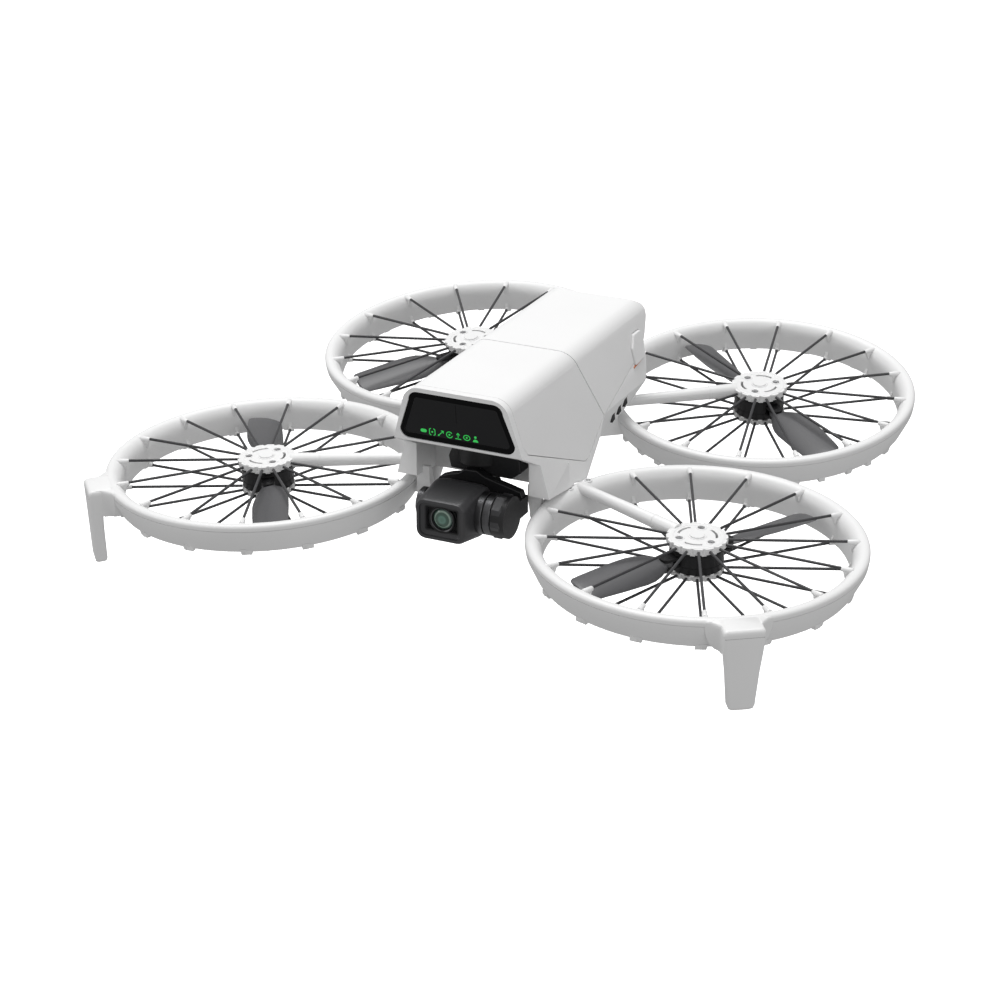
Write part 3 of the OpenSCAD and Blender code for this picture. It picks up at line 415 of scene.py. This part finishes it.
def motor(unit, at, body):
    """The turning bell: its CAD shape, with a knurled band and a dark lip that stand just proud of it."""
    refine("motor_bell_" + unit, MOTOR, bevel=0.12)
    band = Shape(at)
    r = BELL_R
    for top in (-2.2, -6.6):
        band.lathe([(r - 0.3, top), (r + 0.12, top - 0.1), (r + 0.12, top - 0.55),
                    (r - 0.3, top - 0.65)], steps=72)
    for i in range(12):
        band.rod(polar(r - 0.35, 30 * i, -3.1), polar(r - 0.35, 30 * i, -6.4), 0.42, steps=10, dome=0.12)
    band.piece("bell_band_" + unit, body, MOTOR, smooth=35)


def blade(unit, at, letter, spin_dir):
    """A twisted aerofoil with a raised root collar and its pivot screw."""
    body = f"blade_{letter}_{unit}_body"
    hand = -1 if unit[0] == "f" else 1
    reach = TIP_R - PIVOT_R
    stations = [  # share of the span, leading edge, trailing edge, thickness, pitch in degrees
        (-0.035, -0.12, 0.12, 1.5, 4), (0.03, -0.18, 0.18, 1.7, 9), (0.08, -0.26, 0.27, 1.6, 15),
        (0.15, -0.35, 0.37, 1.45, 19), (0.24, -0.42, 0.45, 1.3, 20), (0.34, -0.45, 0.49, 1.2, 19),
        (0.45, -0.45, 0.5, 1.1, 17.5), (0.6, -0.45, 0.49, 1.0, 16), (0.75, -0.44, 0.47, 0.9, 14.5),
        (0.88, -0.43, 0.45, 0.8, 13.5), (0.955, -0.42, 0.43, 0.65, 13), (0.985, -0.39, 0.38, 0.5, 13),
        (0.997, -0.34, 0.3, 0.4, 13), (1.0, -0.24, 0.18, 0.35, 13)]
    loops = []
    for share, lead, trail, thick, pitch in stations:
        lo, hi = lead * CHORD, trail * CHORD
        loop = []
        for i in range(20):
            a = 2 * math.pi * i / 20
            along = 0.5 - 0.5 * math.cos(a)
            y = lo + (hi - lo) * along
            camber = 0.06 * (hi - lo) * math.sin(math.pi * along)
            z = camber + thick / 2 * math.sin(a) * (1.25 - 0.5 * along)
            p = turned(pitch, "X") @ Vector((0, y, z))
            loop.append((share * reach, hand * p.y, p.z))
        loops.append(loop)
    turn = at @ turned(spin_dir) @ Matrix.Translation((PIVOT_R, 0, BLADE_Z))
    foil = Shape(turn)
    foil.loft(loops)
    foil.lathe([(0.95, -0.8), (2.25, -0.8), (2.4, -0.65), (2.4, 0.62), (2.2, 0.8), (0.95, 0.8)], steps=48)
    foil.piece(f"foil_{letter}_{unit}", body, BLADE, smooth=50, replaces=(f"blade_{letter}_{unit}",))
    screw = Shape(turn)
    screw.lathe([(0.35, 1.6), (0.45, 1.97), (1.2, 1.97), (1.35, 1.86), (1.35, 1.6)], steps=32)
    screw.piece(f"pivot_screw_{letter}_{unit}", f"rotor_{unit}", MOTOR, smooth=35)


def leg(unit, at, body):
    """A landing leg: the lip swells into a shoulder, and a tapered blade goes down from it."""
    side = "left" if unit[1] == "l" else "right"
    legs = Shape(at @ turned(LEG_DIR[unit]))
    loops = []
    for z, half, front, back, corner in (
        (-LEG_LEN, 3.3, LEG_OUT - 0.6, LEG_OUT - 3.6, 0.8),
        (-LEG_LEN + 0.5, 4.1, LEG_OUT - 0.15, LEG_OUT - 4.2, 1.0),
        (-LEG_LEN + 1.6, 4.5, LEG_OUT, LEG_OUT - 4.4, 1.1), (-15, 5.5, LEG_OUT, LEG_OUT - 4.4, 1.1),
        (-8, 6.35, LEG_OUT, LEG_OUT - 4.6, 1.1), (-5, 6.7, LEG_OUT, LEG_OUT - 6.0, 1.1),
        (-1.3, 6.9, LEG_OUT, LEG_OUT - 7.6, 1.1),
        (-0.2, 6.8, LEG_OUT - 0.15, LEG_OUT - 8.1, 1.1), (0.35, 6.4, LEG_OUT - 0.6, LEG_OUT - 8.4, 1.0),
        (LIP_TOP, 5.8, LEG_OUT - 1.3, LEG_OUT - 8.6, 0.9)):
        mid, depth = (front + back) / 2, (front - back) / 2
        loops.append([(mid + x, y, z) for x, y in rounded(depth, half, min(corner, depth - 0.05))])
    legs.loft(loops)
    for s in (1, -1):  # the fillets that lead from the lip into the shoulder
        loops = []
        for z, out, wide in ((-9.8, -5.0, 0.25), (-8.6, -3.2, 0.5), (-6.6, -1.8, 0.75),
                             (-4.0, -1.0, 0.92), (-1.4, -0.8, 1.0),
                             (-0.3, -1.0, 0.97), (0.2, -1.7, 0.9), (0.45, -2.7, 0.8)):
            reach = LEG_OUT + out
            web = [(RIM_R - 3.2, 6.0), (reach, 6.0)]
            for step in range(9):
                t = step / 8
                web.append((reach - (reach - RIM_R + 0.9) * t ** 0.62, 6.3 + wide * LEG_FLARE * t ** 1.9))
            web.append((RIM_R - 3.2, 6.3 + wide * LEG_FLARE))
            loops.append([(x, s * y, z) for x, y in web])
        legs.loft(loops)
    legs.piece("landing_leg_" + side, body, GUARD, bevel=0.0, smooth=42, replaces=("leg_" + side,))
    line = Shape(at @ turned(LEG_DIR[unit]))
    line.box((LEG_OUT - 0.25, -6.4, -2.12), (LEG_OUT + 0.02, 6.4, -2.02))
    line.piece("leg_seam_" + side, body, SEAM)


BLADE_DIR = {"fl": -120, "fr": -121, "rl": 140, "rr": 130}
for unit in UNITS:
    at, body = rotor_frame(unit), f"arm_{unit}_body"
    guard_lip(unit, at, body)
    refine("guard_ring_" + unit, GUARD, bevel=0.2, smooth=36)
    refine("spokes_" + unit, SPOKE, bevel=0.0)
    refine("stator_" + unit, WINDING, bevel=0.1)
    refine("screws_" + unit, STEEL, bevel=0.06)
    hub(unit, at, body)
    motor(unit, at, "rotor_" + unit)
    for letter, extra in (("a", 0), ("b", 180)):
        blade(unit, at, letter, BLADE_DIR[unit] + extra)
    if unit[0] == "f":
        leg(unit, at, body)

# ---- body ----
for name, material, bevel in (
    ("lower_frame", SHELL, 0.3), ("front_cover", SHELL, 0.16), ("battery_case", SHELL, 0.2),
    ("battery_button_left", SHELL, 0.5), ("battery_button_right", SHELL, 0.5), ("battery_cells", CELL, 0.8),
    ("mainboard", BOARD, 0.1), ("cooling_fan", DARK, 0.15), ("fold_pins", STEEL, 0.15),
    ("belly_sensors", SENSOR, 0.2), ("usb_port", STEEL, 0.1), ("gimbal_mount", BLACK, 0.3),
    ("gimbal_yaw_arm", BLACK, 0.5), ("gimbal_roll_arm", BLACK, 0.5), ("camera_lens", DARK, 0.15),
    ("display_window", GLASS, 0.2), ("display_panel", PANEL, 0.1)):
    refine(name, material, bevel)


# ---- display ----
def nose_frame():
    """x to the drone's left, y up the slanted face, z out of it; the origin is on the face at the chin."""
    up = Vector((0, -NOSE_RAKE, TOP_Z - CHIN_Z)).normalized()
    x = Vector((1, 0, 0))
    out = x.cross(up)
    turn = Matrix((x, up, out)).transposed().to_4x4()
    return LEVEL @ Matrix.Translation((0, NOSE_Y, CHIN_Z)) @ turn


def window_loop(inset, depth):
    """The display's rounded trapezoid on the face, brought in by inset and set back by depth."""
    top, low = TOP_HW - 0.8 - inset, TOP_HW + FLANK * (TOP_Z - CHIN_Z) - 2.5 - inset
    height, r = TOP_Z - CHIN_Z - 1.6 - inset, max(3.4 - inset, 0.8)
    foot = 0.9 + inset
    right = []
    for x, y, start in ((low - r, foot + r, -90), (top - r, height - r, 0)):
        for a in range(start, start + 91, 15):
            right.append((x + r * math.cos(math.radians(a)), y + r * math.sin(math.radians(a))))
    return [(x, y, -depth) for x, y in right + [(-x, y) for x, y in reversed(right)]]


face = nose_frame()
screen = Shape(face)
screen.loft([window_loop(0.1, 1.2), window_loop(0.1, 0.9), window_loop(0.7, 0.45), window_loop(1.9, 0.28)])
screen.piece("display_glass", "body", GLASS, smooth=25)
pane = Shape(face)
pane.loft([window_loop(2.0, 0.3), window_loop(2.1, 0.22)])
pane.piece("display_face", "body", PANEL, smooth=25)
split = Shape(face)
split.box((-0.07, 9.4, -0.24), (0.07, 16.2, -0.2))
split.piece("display_split", "body", GLASS)

icons = Shape(face)
ICON_Y, ICON_STEP, ICON_X = 4.6, 3.25, -12.6
ICON_DEPTHS = -0.2, -0.12


def stroke(points, width=0.28, closed=False):
    """A line of small bars on the display face."""
    pairs = zip(points, points[1:] + points[:1]) if closed else zip(points, points[1:])
    for a, b in pairs:
        a, b = Vector(a), Vector(b)
        along = (b - a).normalized() * width * 0.5
        across = Vector((-along.y, along.x))
        corners = [a - along - across, b + along - across, b + along + across, a - along + across]
        icons.prism(corners, *ICON_DEPTHS)


def disc(x, y, r):
    turns = [i * math.pi / 10 for i in range(20)]
    icons.prism([(x + r * math.cos(a), y + r * math.sin(a)) for a in turns], *ICON_DEPTHS)


def arc(x, y, r, start, end, steps=14):
    return [(x + r * math.cos(math.radians(start + (end - start) * i / steps)),
             y + r * math.sin(math.radians(start + (end - start) * i / steps))) for i in range(steps + 1)]


def icon_x(i):
    return ICON_X + i * ICON_STEP


icons.prism([(icon_x(0) + x, ICON_Y + y) for x, y in rounded(1.15, 0.62, 0.6)], *ICON_DEPTHS)
for s in (1, -1):  # a dot in brackets
    x = icon_x(1)
    stroke([(x + s * 0.55, ICON_Y + 1.2), (x + s * 1.05, ICON_Y + 0.9), (x + s * 1.05, ICON_Y - 0.9),
            (x + s * 0.55, ICON_Y - 1.2)])
disc(icon_x(1), ICON_Y, 0.34)
x = icon_x(2)  # a diagonal arrow
stroke([(x - 0.5, ICON_Y - 0.5), (x + 0.8, ICON_Y + 0.8)])
stroke([(x + 0.25, ICON_Y + 0.95), (x + 0.95, ICON_Y + 0.95), (x + 0.95, ICON_Y + 0.25)])
disc(x - 0.85, ICON_Y - 0.85, 0.3)
stroke(arc(icon_x(3), ICON_Y, 1.1, 40, 340))  # an open ring round a dot
disc(icon_x(3), ICON_Y, 0.36)
x = icon_x(4)  # an up arrow over a line
stroke([(x, ICON_Y - 0.4), (x, ICON_Y + 1.1)])
stroke([(x - 0.5, ICON_Y + 0.55), (x, ICON_Y + 1.15), (x + 0.5, ICON_Y + 0.55)])
stroke([(x - 0.95, ICON_Y - 1.0), (x + 0.95, ICON_Y - 1.0)])
eye = [i * math.pi / 6 for i in range(12)]
stroke([(icon_x(5) + 1.2 * math.cos(a), ICON_Y + 0.95 * math.sin(a)) for a in eye], closed=True)
disc(icon_x(5), ICON_Y, 0.34)
disc(icon_x(6), ICON_Y + 0.7, 0.45)  # a person
icons.prism([(icon_x(6) + p[0], ICON_Y - 1.1 + p[1]) for p in arc(0, 0, 1.0, 0, 180, 10)], *ICON_DEPTHS)
icons.piece("display_icons", "body", ICON)


# ---- gimbal ----
def camera():
    """A rounded housing that narrows from the tilt axis to a framed, recessed window."""
    bm = bmesh.new()
    points = []
    for grow, y in ((0.0, CAM_FRONT), (0.45, CAM_FRONT + 0.9), (0.5, CAM_FRONT + 4.5)):
        outline = rounded(CAM_W / 2 - 0.5 + grow, CAM_H / 2 - 0.5 + grow, 3.2)
        points += [(x, y, TILT.z + 0.4 + z) for x, z in outline]
    for x, r in ((9.3, 7.6), (8.7, 8.6), (7.4, 9.1), (5.0, 9.3)):
        for s in (1, -1):
            points += [(s * x, TILT.y + r * math.cos(a), TILT.z + r * math.sin(a))
                       for a in (i * math.pi / 24 for i in range(48))]
    for p in points:
        bm.verts.new(Vector(p))
    bmesh.ops.convex_hull(bm, input=bm.verts)
    loose = [v for v in bm.verts if not v.link_faces]
    bmesh.ops.delete(bm, geom=loose, context="VERTS")
    bmesh.ops.dissolve_limit(bm, angle_limit=math.radians(1), verts=bm.verts, edges=bm.edges)
    bmesh.ops.recalc_face_normals(bm, faces=bm.faces)
    front = [f for f in bm.faces if f.normal.y < -0.999 and f.calc_center_median().y < CAM_FRONT + 0.1]
    for thickness, depth in ((1.0, 0.0), (0.2, -0.8), (1.2, -0.7), (0.5, 0.0), (0.05, -1.8)):
        bmesh.ops.inset_region(bm, faces=front, thickness=thickness, depth=depth, use_even_offset=True)
    bmesh.ops.transform(bm, matrix=LEVEL, verts=bm.verts)
    made = publish(bm, "camera_housing", "camera", CHARCOAL, 0.0, 33, ("camera_body",))
    made.data.materials.append(RIM_GREY_AND_EDGE_HIGHLIGHT)
    made.data.materials.append(DARK)
    line = (LEVEL @ Vector((0, CAM_FRONT + 0.05, 0))).y
    for f in made.data.polygons[:]:
        y = f.center.y
        if y < line + 0.0006 and f.normal.y < -0.5:
            f.material_index = 1
        deep = (LEVEL.inverted() @ f.center).y > CAM_FRONT + 1.4
        if deep and f.normal.y < -0.9 and abs(f.center.x) < 0.0075:
            f.material_index = 2


camera()
axis = Matrix.Translation((0, CAM_FRONT, TILT.z + 0.4)) @ turned(-90, "X")
barrel = Shape(LEVEL @ axis)
barrel.lathe([(4.85, 3.3), (4.85, 1.5), (4.7, 1.35), (4.45, 1.35), (4.3, 1.5), (4.3, 3.3)], steps=72)
barrel.piece("lens_barrel", "camera", MOTOR, smooth=30)
ring = Shape(LEVEL @ axis)
ring.lathe([(4.3, 1.7), (4.0, 1.85), (4.0, 2.3), (4.3, 2.4)], steps=72)
ring.piece("lens_ring", "camera", BAND, smooth=30)
glass = Shape(LEVEL @ axis)
glass.lathe([(0.0, 1.55), (1.0, 1.62), (2.0, 1.82), (3.0, 2.2), (3.6, 2.55), (4.15, 2.9), (4.15, 3.2),
             (0.0, 3.2)], steps=72, closed=False)
bmesh.ops.remove_doubles(glass.bm, verts=glass.bm.verts, dist=0.001)
glass.piece("lens_glass", "camera", LENS, smooth=60)

across = Matrix.Translation(TILT) @ turned(90, "Y")
bands = Shape(LEVEL @ across)
for low, high in ((9.2, 11.7), (12.15, 14.85)):
    bands.lathe([(4.0, low), (7.15, low), (7.35, low + 0.2), (7.35, high - 0.2), (7.15, high),
                 (4.0, high)], steps=96)
bands.piece("tilt_bands", "camera", BAND, smooth=30)
groove = Shape(LEVEL @ across)
groove.lathe([(4.0, 11.6), (6.7, 11.6), (6.7, 12.2), (4.0, 12.2)], steps=64)
groove.piece("tilt_groove", "camera", DARK)
cap = Shape(LEVEL @ across)
cap_corners = [math.radians(a) for a in (-165, -125, -80, -35, 15, 60, 100, 150)]
cap_outline = [(7.9 * math.cos(a), 7.9 * math.sin(a)) for a in cap_corners]
cap_steps = ((0.94, 15.2), (1.0, 15.5), (1.0, 18.4), (0.84, 20.0))
cap.loft([[(x * k, y * k, z) for x, y in cap_outline] for k, z in cap_steps])
cap.lathe([(0.5, 19.8), (4.6, 19.8), (4.6, 20.05), (4.4, 20.15), (0.5, 20.15)], steps=64)
cap.piece("tilt_cap", "gimbal_roll", CHARCOAL, smooth=22)
yoke = Shape(LEVEL)
arch = [(-13.8, -1.4), (-13.8, 4.0), (-11.6, 7.2), (-8.0, 8.6), (-4.6, 9.4), (-2.2, 11.2),
        (2.2, 11.4), (5.4, 9.6), (9.6, 8.6), (14.0, 7.6), (18.8, 6.4), (19.8, 3.4), (19.8, -1.8)]
yoke.prism(arch, 1.4, 4.6, turned(90, "X"))
yoke.piece("roll_yoke", "gimbal_roll", BLACK, bevel=0.4, smooth=24, steps=2)
# a thin grey rod along the yoke's front top edge: a painted highlight
trim = Shape(LEVEL)
for (xa, za), (xb, zb) in zip(arch[1:-2], arch[2:-1]):
    trim.rod((xa, -4.7, za - 0.25), (xb, -4.7, zb - 0.25), 0.16, steps=8)
trim.piece("yoke_edge_painted_highlight", "gimbal_roll", RIM_GREY_AND_EDGE_HIGHLIGHT, smooth=60)
cowl = Shape(LEVEL)
cowl_outline = [(-9.5, 9.2), (-10.5, 13.5), (-8.5, 18.2), (12.5, 18.2), (16.8, 16.2), (17.2, 11.5),
                (13.5, 8.6)]
cowl.prism(cowl_outline, -6.0, 0.8, turned(90, "X"))
cowl.piece("yaw_cowl", "gimbal_yaw", BLACK, bevel=0.6, smooth=24, steps=2)
left = Shape(LEVEL @ across)
left.lathe([(1.0, -14.2), (4.6, -14.2), (5.2, -13.7), (5.2, -11.9), (4.8, -11.6), (4.8, -9.35),
            (1.0, -9.35)], steps=64)
left.piece("tilt_bearing", "gimbal_roll", BAND, smooth=30)

# ---- spring pins at the front hinges ----
for side, name in ((1, "left"), (-1, "right")):
    mirror = Matrix.Scale(side, 4, (1, 0, 0))
    clip = Shape(LEVEL @ mirror)
    for a, b in (((26.2, 17.5, 8.4), (27.2, 20.6, 7.3)), ((27.2, 20.6, 7.3), (28.2, 20.2, 6.0))):
        clip.rod(a, b, 0.28, steps=10, dome=0.1)
    clip.piece("hinge_spring_" + name, "body", MOTOR, smooth=60)

# ---- painted vent shade and orange marks on the body ----
def flank_point(y, z, out=0.0):
    return Vector((TOP_HW + FLANK * (TOP_Z - z) + out, y, z))


for side, name in ((1, "left"), (-1, "right")):
    mirror = Matrix.Scale(side, 4, (1, 0, 0))
    # dark boxes over the vent slots: painted shade in the openings
    vent = Shape(LEVEL @ mirror)
    for i in range(3):
        slot = Matrix.Translation((23.55 + 0.6 * i, 64 + i * 4.2, 10.6 + i * 1.7)) @ turned(15, "X")
        vent.box((-1.1, -1.3, -1.65), (0.35, 1.3, 1.65), slot)
    vent.piece("vent_shade_" + name, "body", DARK)
    mark = Shape(LEVEL @ mirror)
    mark.rod(flank_point(82.2, 23.4, 0.0), flank_point(89.4, 24.3, 0.0), 0.35, steps=10, dome=0.1)
    mark.piece("orange_line_" + name, "battery", ORANGE)

# ---- camera, floor and light ----
VIEW_AZIMUTH, VIEW_ELEVATION, VIEW_DISTANCE, VIEW_LENS = 25.36, 23.07, 0.9169, 95.8
VIEW_TARGET = LEVEL @ Vector((8.95, 0, 0))
a, e = math.radians(VIEW_AZIMUTH), math.radians(VIEW_ELEVATION)
back = Vector((math.sin(a) * math.cos(e), -math.cos(a) * math.cos(e), math.sin(e)))
cam = bpy.data.objects.new("view", bpy.data.cameras.new("view"))
bpy.context.scene.collection.objects.link(cam)
cam.data.lens, cam.data.sensor_width = VIEW_LENS, 36
cam.data.clip_start, cam.data.clip_end = 0.01, 20
cam.location = VIEW_TARGET + back * VIEW_DISTANCE
cam.rotation_mode = "QUATERNION"
cam.rotation_quaternion = (-back).to_track_quat("-Z", "Y")
bpy.context.scene.camera = cam

FLOOR_Z, FLOOR_HALF = -0.3, 12.0
floor_mesh = bpy.data.meshes.new("floor")
floor_corners = [(x * FLOOR_HALF, y * FLOOR_HALF, FLOOR_Z) for x, y in ((-1, -1), (1, -1), (1, 1), (-1, 1))]
floor_mesh.from_pydata(floor_corners, [], [(0, 1, 2, 3)])
floor_mesh.materials.append(finish("floor white", (0.93, 0.93, 0.93), 0.9, spread=0.01, bump=0.0, blotch=2.0,
                                   Emission_Color=(1, 1, 1, 1), Emission_Strength=0.75))
floor = bpy.data.objects.new("floor", floor_mesh)
bpy.context.scene.collection.objects.link(floor)


def softbox(name, place, size, power, aim=(0, 0, 0)):
    light = bpy.data.lights.new(name, "AREA")
    light.shape, light.size, light.size_y, light.energy = "RECTANGLE", size[0], size[1], power
    made = bpy.data.objects.new(name, light)
    bpy.context.scene.collection.objects.link(made)
    made.location = place
    made.rotation_euler = (Vector(aim) - Vector(place)).to_track_quat("-Z", "Y").to_euler()


floor.visible_diffuse = floor.visible_glossy = False
softbox("key", (-0.35, 0.3, 1.9), (1.3, 1.3), 31)
softbox("left fill", (-1.6, -0.9, 0.8), (1.0, 0.8), 5)
softbox("right fill", (1.4, -1.1, 0.75), (1.0, 0.8), 5)
world = bpy.data.worlds.new("studio")
bpy.context.scene.world = world
world.use_nodes = True
world.node_tree.nodes["Background"].inputs["Color"].default_value = (1, 1, 1, 1)
world.node_tree.nodes["Background"].inputs["Strength"].default_value = 0.42
bpy.context.scene.view_settings.view_transform = "Standard"
